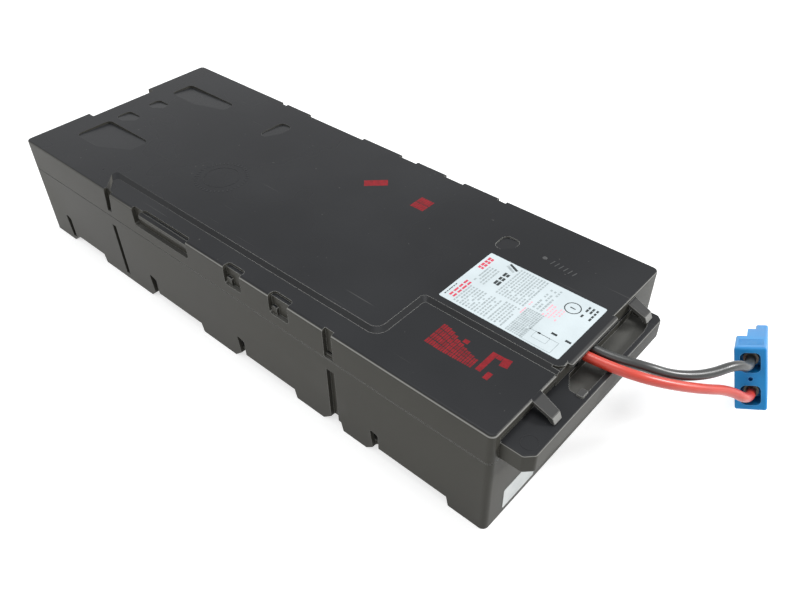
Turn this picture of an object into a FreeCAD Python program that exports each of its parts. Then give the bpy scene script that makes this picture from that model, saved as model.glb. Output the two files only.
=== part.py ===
import FreeCAD, Part
import math
import os
from FreeCAD import Vector

# Battery cartridge for an uninterruptible power supply.
# While it is built, X runs from 0 at the far end to the cable end, Y is 0 on the centre line
# and Z is 0 on the surface it stands on. save() then centres the cartridge on X.
# All sizes are in millimetres.

# Sealed 12 V blocks lying on their sides, four in a row
block_height = 94.0
block_length = 151.0
block_thickness = 65.0
block_lid = 16.0
block_lid_step = 0.5
block_edge = 2.0
base_band = 3.0
vent_strip_width = 26.0
vent_strip_length = 96.0
vent_strip_height = 0.8

# Blade terminals and push-on connectors
blade_width = 6.35
blade_thickness = 0.8
blade_reach = 7.0
blade_nose = 1.2
blade_hole_radius = 0.9
blade_inset = 9.5
blade_rise = 9.0
boot_length = 7.6
boot_width = 9.6
boot_thickness = 6.4
boot_height = 13.0
boot_gap = 0.3
fit_gap = 0.15

# Wires
lead_diameter = 5.8
link_diameter = 4.6
link_arch = 22.0
lead_pair_gap = 0.7254
lead_room = 0.25
exit_y = -2.0
exit_rise = 3.9
channel_levels = {"link": 33.5, "red": 44.5, "black": 55.5}
lead_climb = 65.0
lead_spacing = (lead_diameter + lead_pair_gap) / math.sin(math.radians(lead_climb))
lead_turn_gap = 0.8
lead_turn_inside = 1.5
lead_straight = 0.4
channel_bend = lead_diameter / 2 + lead_turn_inside
link_bend = 3.2

# Walls, skins and clearances of the case
wall = 2.5
skin = 1.4
deck_thickness = 2.3
groove_skin = 1.2
groove_depth = 2.8
notch_depth = 3.0
foot_height = 7.0
corner_radius = 3.8
edge_radius = 1.2
ledge_edge_radius = 2.0
lap_height = 3.0
lap_clearance = 0.15
seam_depth = 0.35
seam_height = 0.5

# Rubber grommet in the cable opening
grommet_width = 20.0
grommet_inner = 2.0
grommet_outer = 1.6
grommet_lip = 1.4
grommet_gap = 0.1

# Room round the blocks
far_room = 8.6
near_room = lead_turn_gap + lead_diameter + lead_turn_inside + lead_straight + grommet_inner + wall
terminal_gap = 17.4
middle_gap = 1.6
block_side_gap = 0.3
foam_room = 3.4
cable_channel = lead_diameter + 2 * lead_room + groove_depth + groove_skin

# Outside of the case, from the blocks and the room round them
case_length = far_room + 4 * block_height + 2 * terminal_gap + middle_gap + near_room
case_width = notch_depth + skin + block_side_gap + block_length + cable_channel
half_width = case_width / 2
platform_top = foot_height + 2 * deck_thickness + block_thickness + foam_room
ledge_drop = 1.8
ledge_top = platform_top - ledge_drop
cover_depth = 23.5
parting_height = platform_top - cover_depth
lap_thickness = wall / 2 - lap_clearance / 2

# Feet under the tray: start and end along X. The ends that face the cable end slope.
foot_depth = 16.0
foot_slope = 8.0
foot_draft = 1.5
foot_edge = 0.8
side_feet = [
    (73.0, 132.0),
    (193.0, 227.0),
    (case_length - 147.0, case_length - 123.0),
    (case_length - 106.0, case_length - 87.0),
]
far_foot_length = 28.0
near_foot_length = 25.0

# Drain slots beside the feet, through the side walls: start and end along X, and top
drain_slots = [
    (25.5, 32.0, 24.0),
    (135.5, 143.0, 21.5),
    (232.0, 239.0, 21.0),
    (case_length - 83.5, case_length - 77.0, 20.0),
]
drain_slot_foot = 4.0
drain_slot_lean = 2.0
drain_slot_radius = 1.5

# Notches that step both long top edges in
long_notch = (136.0, 194.5)
short_notches = [(231.5, 247.0), (272.5, 289.0)]
notch_floor_depth = 15.5
notch_radius = 2.5
notch_floor = platform_top - notch_floor_depth
rail_start = 143.0
rail_bottom = platform_top - 7.6
rail_top = platform_top - 4.0
lug_width = 4.5
lug_depth = 1.8
lug_inset = 1.0
lug_top = platform_top - 9.5
shelf_cut_floor = ledge_top - 1.6
shelf_cuts = [(145.0, 194.5, 4.7), (231.5, 247.0, 5.8), (272.5, 289.0, 5.8)]

# Upright grooves in both sides. In the cover: start and end along X at the top and at the
# foot, and depth of the foot below the platform. In the tray: start, end and depth of the
# head below the parting line.
cover_grooves = [
    (104.5, 111.0, 101.5, 106.0, 19.0),
    (case_length - 116.5, case_length - 109.5, case_length - 116.5, case_length - 109.5, 22.5),
]
tray_grooves = [(101.5, 105.8, 7.5), (case_length - 116.0, case_length - 109.5, 8.5)]
tray_groove_foot = 5.0

# Notch in the far end
far_notch = (-29.5, 26.5)
far_notch_depth = 7.0
far_notch_height = 14.0

# Raised platform of the cover, seen from above. The ledge lies beside it.
side_ledge_width = 19.0
platform_side = -half_width + side_ledge_width
platform_far_corner = 88.0
ledge_far_end = 104.0
platform_step = case_length - 92.0
platform_near_side = -24.5
platform_slope = 3.4
platform_corner = 5.0
step_corner = 4.0

# Front edge of the cover: a tongue over the leads, and a rim that stands proud of the wall
tongue = (-18.0, 30.0)
tongue_reach = 2.8
tongue_thickness = 2.3
tongue_edge = 1.2
front_rim_height = 4.2
front_rim_proud = 0.6

# Scooped finger recesses in the platform: far edge, near edge, left, right, depth
scoops = [
    (23.0, 74.0, -54.0, -25.0, 2.0),
    (22.0, 78.0, 34.5, 54.0, 2.0),
    (22.0, 38.0, -19.0, -6.0, 1.2),
    (24.0, 38.0, 9.0, 20.5, 1.2),
    (129.0, 141.0, 36.0, 59.0, 1.2),
    (case_length - 89.0, case_length - 77.0, 38.0, 52.0, 1.0),
]
scoop_shallow = 0.35

# Pull ledge across the cable end, part of the tray
ledge_bar_drop = 10.0
ledge_bar_height = 12.0
ledge_bar_top = platform_top - ledge_bar_drop
ledge_bar_bottom = ledge_bar_top - ledge_bar_height
ledge_bar_reach = 18.0
ledge_bar_left = -half_width + 6.5
ledge_bar_right = half_width - 26.0
ledge_bar_chamfer = 6.0
ledge_bar_radius = 2.5
ledge_bar_edge = 1.0
ledge_bar_wall = 2.5
ledge_bar_ribs = 5
trough = (-25.5, 53.5)
trough_cut = 10.0
trough_inset = 0.8
trough_reach = 15.0
trough_depth = 5.0
trough_corner = 4.0
trough_slant = (3.0, 14.0)
trough_post = (11.5, 15.5, -26.5, -20.5)
trough_post_height = 1.2
trough_post_edge = 0.6

# Latch straps from the cover onto the pull ledge: centre along Y at root and end, and reach
straps = [(-45.8, -48.0, 12.6), (50.4, 48.2, 11.6)]
strap_root_width = 8.6
strap_end_width = 6.4
strap_thickness = 2.2
strap_edge = 0.6
strap_top = platform_top - 2.0
strap_drop = 3.6
strap_gap = 0.3

# Low ribs on the floor of the tray
rib_height = 5.0
rib_thickness = 1.6
rib_gap = 0.3

# Foam between the blocks and the platform
foam_length = block_height - 24.0
foam_width = block_length - 41.0
foam_gap = 0.2

# Label and sticker
label_thickness = 0.2
label_corner = 1.0
rating_label_area = (case_length - 85.0, case_length - 5.0, -20.0, 31.0)
front_sticker_area = (-67.0, -37.0, 4.0, 20.0)

# Two-pole power connector. Its own axes are: along from the wire end to the mating end,
# across from the lower pole to the upper one, and side through its thickness.
# The place of its wire end is measured from the cable end of the case.
connector_length = 49.0
connector_width = 38.5
connector_thickness = 17.5
connector_tilt = 23.0
connector_turn = 104.0
connector_roll = 17.5
connector_rear_x = case_length + 69.0
connector_rear_y = 79.9
pole_spacing = 20.0
wire_entry_width = 12.0
wire_entry_height = 11.0
wire_entry_depth = 15.0
first_step = (25.0, 6.1)
second_step = (39.0, 10.4)
contact_width = 8.0
contact_thickness = 2.0
contact_end = 41.0
spring_thickness = 0.6
crimp_diameter = 8.4
barrel_start = 8.0
lead_standoff = 9.0
pin_hole_radius = 1.3
pin_hole_depth = 5.0
ridge_start = 6.0
ridge_pitch = 2.4
ridge_width = 0.9
ridge_depth = 0.5
ridge_count = 5
floor_clearance = 0.05

floor_top = foot_height + deck_thickness
deck_under = ledge_top - deck_thickness
platform_under = platform_top - deck_thickness
exit_z = ledge_bar_top + exit_rise
block_bottom = floor_top
block_top = block_bottom + block_thickness
block_left = -half_width + notch_depth + skin + block_side_gap
block_right = block_left + block_length
channel_y = block_right + lead_room + lead_diameter / 2
first_gap = far_room + block_height
second_block = first_gap + terminal_gap
third_block = second_block + block_height + middle_gap
second_gap = third_block + block_height
fourth_block = second_gap + terminal_gap
block_places = [(far_room, 1), (second_block, -1), (third_block, 1), (fourth_block, -1)]
overall_length = case_length + ledge_bar_reach


def box(x0, x1, y0, y1, z0, z1):
    return Part.makeBox(x1 - x0, y1 - y0, z1 - z0, Vector(x0, y0, z0))


def corner_arc(before, corner, after, radius):
    # Tangent arc at one corner of a path: its first point, middle point and last point.
    back = (before - corner).normalize()
    ahead = (after - corner).normalize()
    half_angle = back.getAngle(ahead) / 2
    middle = (back + ahead).normalize()
    reach = radius / math.tan(half_angle)
    centre = corner + middle * (radius / math.sin(half_angle))
    return corner + back * reach, centre - middle * radius, corner + ahead * reach


def closed_wire(points, radii):
    # Closed outline with a tangent arc at each corner that has a radius.
    count = len(points)
    ends = []
    for i, corner in enumerate(points):
        if radii[i] > 0:
            ends.append(corner_arc(points[i - 1], corner, points[(i + 1) % count], radii[i]))
        else:
            ends.append((corner, None, corner))
    edges = []
    for i in range(count):
        start, middle, end = ends[i]
        if middle is not None:
            edges.append(Part.Arc(start, middle, end).toShape())
        following = ends[(i + 1) % count][0]
        if end.distanceToPoint(following) > 1e-6:
            edges.append(Part.LineSegment(end, following).toShape())
    return Part.Wire(edges)


def prism(points, radii, direction):
    return Part.Face(closed_wire(points, radii)).extrude(direction)


def plan_prism(corners, radii, z0, z1):
    points = [Vector(x, y, z0) for x, y in corners]
    return prism(points, radii, Vector(0, 0, z1 - z0))


def rounded_plate(x0, x1, y0, y1, z0, z1, radius):
    corners = [(x0, y0), (x1, y0), (x1, y1), (x0, y1)]
    return plan_prism(corners, [radius] * 4, z0, z1)


def side_prism(corners, radii, y0, y1):
    # Prism across Y of an outline given as X and Z.
    points = [Vector(x, y0, z) for x, z in corners]
    return prism(points, radii, Vector(0, y1 - y0, 0))


def mirrored(shape):
    return shape.mirror(Vector(0, 0, 0), Vector(0, 1, 0))


def fuse_all(shapes):
    return shapes[0].multiFuse(shapes[1:]).removeSplitter()


def both_sides(shapes):
    return shapes + [mirrored(shape) for shape in shapes]


def edges_where(shape, test):
    chosen = []
    for edge in shape.Edges:
        low = edge.BoundBox
        if test(low):
            chosen.append(edge)
    return chosen


def save(name, shape):
    shape = shape.copy()
    shape.translate(Vector(-overall_length / 2, 0, 0))
    shape.exportStep("parts/" + name + ".step")
    sizes = shape.BoundBox
    volume = sum(solid.Volume for solid in shape.Solids)
    print("%-22s %2d solid(s) %9.0f mm3  %6.1f x %6.1f x %6.1f  valid %s" % (
        name, len(shape.Solids), volume, sizes.XLength, sizes.YLength, sizes.ZLength, shape.isValid()))


# Notches and grooves, on the left side. They are mirrored for the right side.

def notch_spans():
    return [long_notch] + short_notches


def cover_side_cuts():
    outside = -half_width - 1
    above = platform_top + 1
    cuts = []
    for start, end in notch_spans():
        corners = [(start, above), (start, notch_floor), (end, notch_floor), (end, above)]
        inside = -half_width + notch_depth
        cuts.append(side_prism(corners, [0, notch_radius, notch_radius, 0], outside, inside))
    for top_start, top_end, low_start, low_end, depth in cover_grooves:
        floor = platform_top - depth
        corners = [(top_start, above), (low_start, floor), (low_end, floor), (top_end, above)]
        cuts.append(side_prism(corners, [0, 0, 0, 0], outside, -half_width + groove_depth))
    return cuts


def cover_side_bumps():
    # Inside the cover, the wall steps in behind each notch and groove.
    lowest = parting_height + lap_height + 1
    bumps = []
    for start, end in notch_spans():
        bumps.append(box(start - skin, end + skin, -half_width, -half_width + notch_depth + skin,
                         notch_floor - skin, platform_top))
    for top_start, top_end, low_start, low_end, depth in cover_grooves:
        floor = platform_top - depth
        bumps.append(box(low_start - groove_skin, top_end + groove_skin, -half_width,
                         -half_width + groove_depth + groove_skin, max(floor - groove_skin, lowest),
                         platform_top))
    return bumps


def ledge_cuts():
    # Shallow steps in the ledge behind the notches.
    cuts = []
    for start, end, depth in shelf_cuts:
        corners = [(start, -half_width - 5), (end, -half_width - 5), (end, -half_width + depth),
                   (start, -half_width + depth)]
        radii = [0, 0, notch_radius, notch_radius]
        cuts.append(plan_prism(corners, radii, shelf_cut_floor, platform_top + 1))
    return cuts


def ledge_cut_floors():
    low = shelf_cut_floor - skin
    return [box(start - skin, end + skin, -half_width, -half_width + depth + skin, low, platform_top)
            for start, end, depth in shelf_cuts]


def notch_details():
    back = -half_width + notch_depth
    start, end = rail_start, long_notch[1]
    outline = [
        Vector(start, -half_width + 0.3, rail_bottom),
        Vector(start, -half_width + 0.3, rail_top - 0.8),
        Vector(start, back + skin / 2, rail_top + 0.6),
        Vector(start, back + skin / 2, rail_bottom),
    ]
    details = [prism(outline, [0.5, 0.8, 0, 0], Vector(end - start, 0, 0))]
    for start, end in short_notches:
        left = start + lug_inset
        outline = [
            Vector(left, back - lug_depth, notch_floor - 0.5),
            Vector(left + lug_width, back - lug_depth, notch_floor - 0.5),
            Vector(left + lug_width, back - lug_depth, lug_top),
            Vector(left, back - lug_depth, lug_top),
        ]
        soft = lug_width * 0.4
        details.append(prism(outline, [0, 0, soft, soft], Vector(0, lug_depth + skin / 2, 0)))
    return details


# Upper cover

def ledge_tool():
    # What is cut away beside the platform, with a sloped side up to the platform.
    beyond_x = case_length + 5
    beyond_y = -half_width - 5
    slope = platform_slope
    top = [
        (ledge_far_end, beyond_y),
        (ledge_far_end, -half_width + 3),
        (platform_far_corner, platform_side),
        (platform_step, platform_side),
        (platform_step, platform_near_side),
        (beyond_x, platform_near_side),
        (beyond_x, beyond_y),
    ]
    bottom = [
        (ledge_far_end + slope, beyond_y),
        (ledge_far_end + slope, -half_width + 3),
        (platform_far_corner + slope * 1.3, platform_side - slope),
        (platform_step + slope, platform_side - slope),
        (platform_step + slope, platform_near_side - slope),
        (beyond_x, platform_near_side - slope),
        (beyond_x, beyond_y),
    ]
    top_radii = [0, 2, 3, platform_corner, step_corner, 0, 0]
    bottom_radii = [0, 2, 3, platform_corner + slope, step_corner - slope / 2, 0, 0]
    rise = platform_top - ledge_top
    above = [(a[0] + (a[0] - b[0]) / rise, a[1] + (a[1] - b[1]) / rise) for a, b in zip(top, bottom)]
    lower = closed_wire([Vector(x, y, ledge_top) for x, y in bottom], bottom_radii)
    upper = closed_wire([Vector(x, y, platform_top + 1.0) for x, y in above], top_radii)
    column = plan_prism(bottom, bottom_radii, parting_height - 1, ledge_top)
    return fuse_all([Part.makeLoft([lower, upper], True, True), column])


def platform_corner_tool():
    # Rounds the platform's corner beside the cable opening, in plan.
    radius = platform_corner
    x0 = case_length - radius
    y0 = platform_near_side
    block = box(x0, case_length + 1, y0 - 1, y0 + radius, ledge_top, platform_top + 1)
    return block.cut(Part.makeCylinder(radius, 20, Vector(x0, y0 + radius, ledge_top - 5)))


def scoop_tool(x0, x1, y0, y1, depth):
    # Wedge: deepest at its far right corner, and running out to nothing at the near left one.
    top = platform_top + 0.5
    fall = depth * (1 - scoop_shallow)
    rounding = min(4.0, (y1 - y0) * 0.3)
    block = rounded_plate(x0, x1, y0, y1, platform_top - depth - 1, top, rounding)
    points = []
    for x, y in ((x0, y0), (x1, y0), (x1, y1), (x0, y1), (x0, y0)):
        rise = fall * ((x - x0) / (x1 - x0) + (y1 - y) / (y1 - y0))
        points.append(Vector(x, y, platform_top - depth + rise))
    above = Part.Face(Part.makePolygon(points)).extrude(Vector(0, 0, depth + 5))
    return block.common(above)


def upper_cover():
    outer = rounded_plate(0, case_length, -half_width, half_width, parting_height, platform_top,
                          corner_radius)
    top_edges = edges_where(outer, lambda b: b.ZMin > platform_top - 0.01)
    outer = outer.makeFillet(edge_radius, top_edges)
    base = rounded_plate(0, case_length, -half_width, half_width, parting_height, ledge_top, corner_radius)
    base = base.makeFillet(ledge_edge_radius, edges_where(base, lambda b: b.ZMin > ledge_top - 0.01))
    outer = fuse_all([outer.cut(ledge_tool()), base])
    outer = outer.cut(platform_corner_tool())
    tongue_plate = rounded_plate(case_length - 8, case_length + tongue_reach, tongue[0], tongue[1],
                                 platform_top - tongue_thickness, platform_top, 1.5)
    lip = edges_where(tongue_plate, lambda b: b.ZMin > platform_top - 0.01 and b.XMax > case_length + 0.5)
    outer = outer.fuse(tongue_plate.makeFillet(tongue_edge, lip))
    far_floor = platform_top - far_notch_height
    outer = outer.cut(box(-1, far_notch_depth, far_notch[0], far_notch[1], far_floor, platform_top + 1))
    outer = outer.cut(seam_tool())
    outer = outer.cut(box(case_length - front_rim_proud, case_length + 1, ledge_bar_left - strap_gap,
                          platform_near_side - platform_slope, ledge_bar_top, ledge_top - front_rim_height))
    for tool in both_sides(cover_side_cuts()) + ledge_cuts():
        outer = outer.cut(tool)

    inside_x0 = wall
    inside_x1 = case_length - wall
    inside_y = half_width - wall
    cavity = box(inside_x0, inside_x1, -inside_y, inside_y, parting_height - 1, deck_under)
    low = deck_under - 1
    far_cavity = box(inside_x0, platform_step - wall, platform_side + wall, inside_y, low, platform_under)
    near_cavity = box(inside_x0, inside_x1, platform_near_side + wall, inside_y, low, platform_under)
    cavity = fuse_all([cavity, far_cavity, near_cavity])
    far_bump = box(0, far_notch_depth + skin, far_notch[0] - skin, far_notch[1] + skin,
                   far_floor - skin, platform_top)
    for bump in both_sides(cover_side_bumps()) + ledge_cut_floors() + [far_bump]:
        cavity = cavity.cut(bump)
    cover = outer.cut(cavity)

    # The lap: the outer half of the cover's wall laps over the inner half of the tray's wall.
    lap_inner = half_width - wall / 2 - lap_clearance / 2
    lap_start = wall / 2 + lap_clearance / 2
    lap = box(lap_start, case_length - lap_start, -lap_inner, lap_inner,
              parting_height - 1, parting_height + lap_height + lap_clearance)
    cover = cover.cut(lap)

    # The tray's taller front wall and the pull ledge stand in this gap of the front wall.
    cover = cover.cut(box(case_length - wall - 1, case_length + 1, ledge_bar_left - strap_gap,
                          ledge_bar_right + strap_gap, parting_height - 1, ledge_bar_top + lap_clearance))
    opening_y0, opening_y1 = grommet_span()
    cover = cover.cut(box(case_length - wall - 1, case_length + 1, opening_y0, opening_y1,
                          ledge_bar_top - 1, platform_top - tongue_thickness))
    cover = fuse_all([cover] + both_sides(notch_details()) + cover_ribs())
    cover = fuse_all([cover] + [strap(*sizes) for sizes in straps])
    for scoop in scoops:
        cover = cover.cut(scoop_tool(*scoop))
    return cover


def seam_tool():
    # Shallow rebate round the foot of the cover, which shows as the line between the mouldings.
    top = parting_height + seam_height
    around = box(-1, case_length + 1, -half_width - 1, half_width + 1, parting_height - 1, top)
    side_y = half_width - seam_depth
    core = rounded_plate(seam_depth, case_length - seam_depth, -side_y, side_y, parting_height - 2, top + 1,
                         corner_radius - seam_depth)
    return around.cut(core)


def cover_ribs():
    # Barriers that hang from the platform between the rows of terminals.
    ribs = []
    for gap_start in (first_gap, second_gap):
        centre = gap_start + terminal_gap / 2
        ribs.append(box(centre - 1, centre + 1, platform_side + wall + 6, half_width - wall - 14,
                        parting_height + 6, platform_under + 0.5))
    return ribs


def strap(root_y, end_y, reach):
    # A strap that leaves the cover's front wall, slopes and turns down onto the pull ledge.
    root = case_length - wall / 2
    end = case_length + reach
    low = ledge_bar_top + strap_gap
    knee = strap_top - strap_drop
    corners = [
        (root, strap_top),
        (end, knee),
        (end + 2, low),
        (end + 2 - strap_thickness, low),
        (end - strap_thickness - 0.6, knee - strap_thickness + 0.6),
        (root, strap_top - strap_thickness),
    ]
    side = strap_root_width
    profile = side_prism(corners, [0, 1.6, 0.4, 0, 0.8, 0], root_y - side, root_y + side)
    half_root = strap_root_width / 2
    half_end = strap_end_width / 2
    plan = [(root - 1, root_y - half_root), (end + 3, end_y - half_end), (end + 3, end_y + half_end),
            (root - 1, root_y + half_root)]
    shape = profile.common(plan_prism(plan, [0] * 4, low - 1, strap_top + 1))
    sides = edges_where(shape, lambda b: b.ZMin > knee - 1 and b.YLength < 1.5 and b.XLength > reach * 0.6
                        and b.ZMax > strap_top - 0.1)
    return shape.makeFillet(strap_edge, sides)


# Lower tray

def foot(x0, x1, y0, y1):
    corners = [(x0 - foot_draft, foot_height), (x0, 0), (x1, 0), (x1 + foot_slope, foot_height)]
    return side_prism(corners, [0, foot_edge, foot_edge, 0], y0, y1)


def foot_pocket(x0, x1, y0, y1):
    return box(x0 + wall, x1 - wall, y0 + wall, y1 - wall, deck_thickness, floor_top + 1)


def feet():
    side = -half_width
    list_of_feet = [foot(x0, x1, side, side + foot_depth) for x0, x1 in side_feet]
    list_of_feet = both_sides(list_of_feet)
    list_of_feet.append(foot(-foot_draft, far_foot_length, -half_width, half_width))
    near_foot_start = case_length - near_foot_length
    list_of_feet.append(foot(near_foot_start, case_length + foot_slope, -half_width, half_width))
    return list_of_feet


def foot_pockets():
    side = -half_width
    pockets = both_sides([foot_pocket(x0, x1, side, side + foot_depth) for x0, x1 in side_feet])
    pockets.append(foot_pocket(0, far_foot_length, -half_width, half_width))
    pockets.append(foot_pocket(case_length - near_foot_length, case_length, -half_width, half_width))
    return pockets


def pull_ledge_outline(inset):
    x0 = case_length - wall / 2
    x1 = case_length + ledge_bar_reach - inset
    y0 = ledge_bar_left + inset
    y1 = ledge_bar_right - inset
    cut = ledge_bar_chamfer - inset * 0.4
    corners = [(x0, y0), (x1 - cut * 0.8, y0), (x1, y0 + cut * 0.8), (x1, y1 - cut * 0.5),
               (x1 - cut * 0.5, y1), (x0, y1)]
    soft = max(ledge_bar_radius - inset, 0.5)
    return corners, [0, soft, soft, soft, soft, 0]


def pull_ledge():
    corners, radii = pull_ledge_outline(0)
    bar = plan_prism(corners, radii, ledge_bar_bottom, ledge_bar_top)
    rim = edges_where(bar, lambda b: b.ZMin > ledge_bar_top - 0.01 and b.XMax > case_length + 1)
    bar = bar.makeFillet(ledge_bar_edge, rim)
    front_wall = box(case_length - wall, case_length, ledge_bar_left, ledge_bar_right, parting_height - 1,
                     ledge_bar_top)
    return fuse_all([bar, front_wall])


def pull_ledge_pockets():
    # The bar is hollow from below: pockets between ribs, clear of the trough.
    count = ledge_bar_ribs + 1
    span = ledge_bar_right - ledge_bar_left - 2 * ledge_bar_wall
    pitch = span / count
    pockets = []
    for i in range(count):
        y0 = ledge_bar_left + ledge_bar_wall + i * pitch + 1.0
        y1 = y0 + pitch - 2.0
        in_trough = y1 > trough[0] - ledge_bar_wall and y0 < trough[1] + ledge_bar_wall
        roof = ledge_bar_top - ledge_bar_wall - (trough_depth if in_trough else 0)
        x0 = case_length + 1.0
        x1 = case_length + ledge_bar_reach - ledge_bar_wall
        if i == 0:
            y0 = y0 + 2.0
            x1 = x1 - 1.0
        pockets.append(rounded_plate(x0, x1, y0, y1, ledge_bar_bottom - 1, roof, 1.5))
    return pockets


def lower_tray():
    body = box(0, case_length, -half_width, half_width, foot_height, parting_height)
    body = fuse_all([body] + feet())
    shape_limit = rounded_plate(0, case_length, -half_width, half_width, 0, parting_height, corner_radius)
    body = body.common(shape_limit)
    inside_y = half_width - wall
    cavity = box(wall, case_length - wall, -inside_y, inside_y, floor_top, parting_height + 1)
    groove_cuts = []
    for x0, x1, depth in tray_grooves:
        top = parting_height - depth
        groove_cuts.append(box(x0, x1, -half_width - 1, -half_width + groove_depth, tray_groove_foot, top))
        bump = box(x0 - groove_skin, x1 + groove_skin, -half_width, -half_width + groove_depth + groove_skin,
                   floor_top - 1, top + groove_skin)
        cavity = cavity.cut(bump).cut(mirrored(bump))
    body = body.cut(cavity)
    for pocket in foot_pockets():
        body = body.cut(pocket)
    for tool in both_sides(groove_cuts):
        body = body.cut(tool)
    slots = []
    for start, end, top in drain_slots:
        corners = [(start + drain_slot_lean, drain_slot_foot), (end, drain_slot_foot),
                   (end, top - drain_slot_lean), (start, top)]
        soft = drain_slot_radius
        slots.append(side_prism(corners, [0, 0, soft, soft], -half_width - 1, -half_width + wall + fit_gap))
    for tool in both_sides(slots):
        body = body.cut(tool)

    # Lap: the inner half of the wall stands up inside the cover.
    lap_outer = half_width - wall + lap_thickness
    ring = box(wall - lap_thickness, case_length - wall + lap_thickness, -lap_outer, lap_outer,
               parting_height - 0.5, parting_height + lap_height)
    ring = ring.cut(box(wall, case_length - wall, -inside_y, inside_y, parting_height - 1,
                        parting_height + lap_height + 1))
    body = fuse_all([body, ring, pull_ledge()] + tray_ribs())
    for pocket in pull_ledge_pockets():
        body = body.cut(pocket)
    return body.cut(trough_tool()).fuse(trough_post_block()).removeSplitter()


def trough_tool():
    # Hollow in the top of the pull ledge, in front of the cable opening.
    x0 = case_length + trough_inset
    x1 = case_length + trough_reach
    left, right = trough
    plan = [(x0, left + trough_cut), (x0 + trough_cut * 0.6, left), (x1, left),
            (x1, right - trough_slant[1]), (x1 - trough_slant[0], right), (x0, right)]
    radii = [0, 3.0, 3.0, trough_corner, 2.0, 0]
    return plan_prism(plan, radii, ledge_bar_top - trough_depth, ledge_bar_top + 1)


def trough_post_block():
    # Small stop in the near left corner of the hollow.
    x0, x1, y0, y1 = trough_post
    top = ledge_bar_top + trough_post_height
    post = rounded_plate(case_length + x0, case_length + x1, y0, y1, ledge_bar_top - trough_depth - 0.5, top, 1.0)
    return post.makeFillet(trough_post_edge, edges_where(post, lambda b: b.ZMin > top - 0.01))


def tray_ribs():
    # Low ribs on the floor that hold the blocks in their places.
    clear = rib_gap
    thick = rib_thickness
    spans = []
    for gap_start in (first_gap, second_gap):
        spans.append((gap_start + clear, gap_start + clear + thick))
        spans.append((gap_start + terminal_gap - clear - thick, gap_start + terminal_gap - clear))
    middle = second_block + block_height
    spans.append((middle + clear, middle + middle_gap - clear))
    last = fourth_block + block_height + clear
    spans.append((last, last + thick))
    low = floor_top - 0.5
    high = floor_top + rib_height
    ribs = [box(x0, x1, -half_width + wall - 0.5, block_right - 4, low, high) for x0, x1 in spans]
    side_y = block_right + clear
    for x0, facing in block_places:
        ribs.append(box(x0 + 12, x0 + block_height - 12, side_y, side_y + thick, low, high))
    return ribs


# Sealed blocks with their terminals

def at_block(x0, facing, depth):
    # X of a point that lies a given height above the block's base.
    return x0 + depth if facing > 0 else x0 + block_height - depth


def block_slab(x0, facing, start, end, y0, y1, z0, z1, radius):
    a = at_block(x0, facing, start)
    b = at_block(x0, facing, end)
    low = min(a, b)
    points = [Vector(low, y0, z0), Vector(low, y1, z0), Vector(low, y1, z1), Vector(low, y0, z1)]
    return prism(points, [radius] * 4, Vector(abs(b - a), 0, 0))


def blade_ys():
    return block_left + blade_inset, block_right - blade_inset


def battery_block(x0, facing):
    step = block_lid_step
    body = block_slab(x0, facing, 0, block_height - block_lid, block_left + step, block_right - step,
                      block_bottom + step, block_top - step, block_edge)
    lid_start = block_height - block_lid
    lid = block_slab(x0, facing, lid_start, block_height - vent_strip_height, block_left, block_right,
                     block_bottom, block_top, block_edge)
    middle_y = (block_left + block_right) / 2
    middle_z = (block_bottom + block_top) / 2
    strip = block_slab(x0, facing, block_height - vent_strip_height - 0.5, block_height,
                       middle_y - vent_strip_length / 2, middle_y + vent_strip_length / 2,
                       middle_z - vent_strip_width / 2, middle_z + vent_strip_width / 2, 3.0)
    shape = fuse_all([body, lid, strip])
    # Standing bands at the base end keep it level with the lid.
    band = block_slab(x0, facing, 0, base_band, block_left, block_right, block_bottom, block_top, block_edge)
    return fuse_all([shape, band])


def blade(x0, facing, y):
    root = at_block(x0, facing, block_height - vent_strip_height)
    tip = at_block(x0, facing, block_height - vent_strip_height + blade_reach)
    z = block_bottom + blade_rise
    half = blade_width / 2
    nose = blade_nose
    near_tip = tip - facing * nose
    corners = [(root, y - half), (near_tip, y - half), (tip, y - half + nose), (tip, y + half - nose),
               (near_tip, y + half), (root, y + half)]
    plate = plan_prism(corners, [0] * 6, z - blade_thickness / 2, z + blade_thickness / 2)
    hole_x = (root + tip) / 2 + facing * 1.0
    hole = Part.makeCylinder(blade_hole_radius, 4, Vector(hole_x, y, z - 2))
    return plate.cut(hole)


def boot_span(x0, facing):
    start = block_height - vent_strip_height + boot_gap
    a = at_block(x0, facing, start)
    b = at_block(x0, facing, start + boot_length)
    return min(a, b), max(a, b)


def boot(x0, facing, y):
    # Insulated push-on connector: its wire leaves upward.
    low, high = boot_span(x0, facing)
    z = block_bottom + blade_rise
    half_y = boot_width / 2
    base = z - boot_thickness / 2
    top = base + boot_height
    points = [Vector(low, y - half_y, base), Vector(low, y + half_y, base),
              Vector(low, y + half_y * 0.75, top),
              Vector(low, y - half_y * 0.75, top)]
    body = prism(points, [1.2, 1.2, 2.0, 2.0], Vector(high - low, 0, 0))
    slot_half = blade_width / 2 + fit_gap
    slot_z = blade_thickness / 2 + fit_gap
    root = low - 1 if facing > 0 else high + 1
    tip = at_block(x0, facing, block_height - vent_strip_height + blade_reach) + facing * fit_gap
    slot = box(min(root, tip), max(root, tip), y - slot_half, y + slot_half, z - slot_z, z + slot_z)
    return body.cut(slot), Vector((low + high) / 2, y, top)


# Wires

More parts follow.
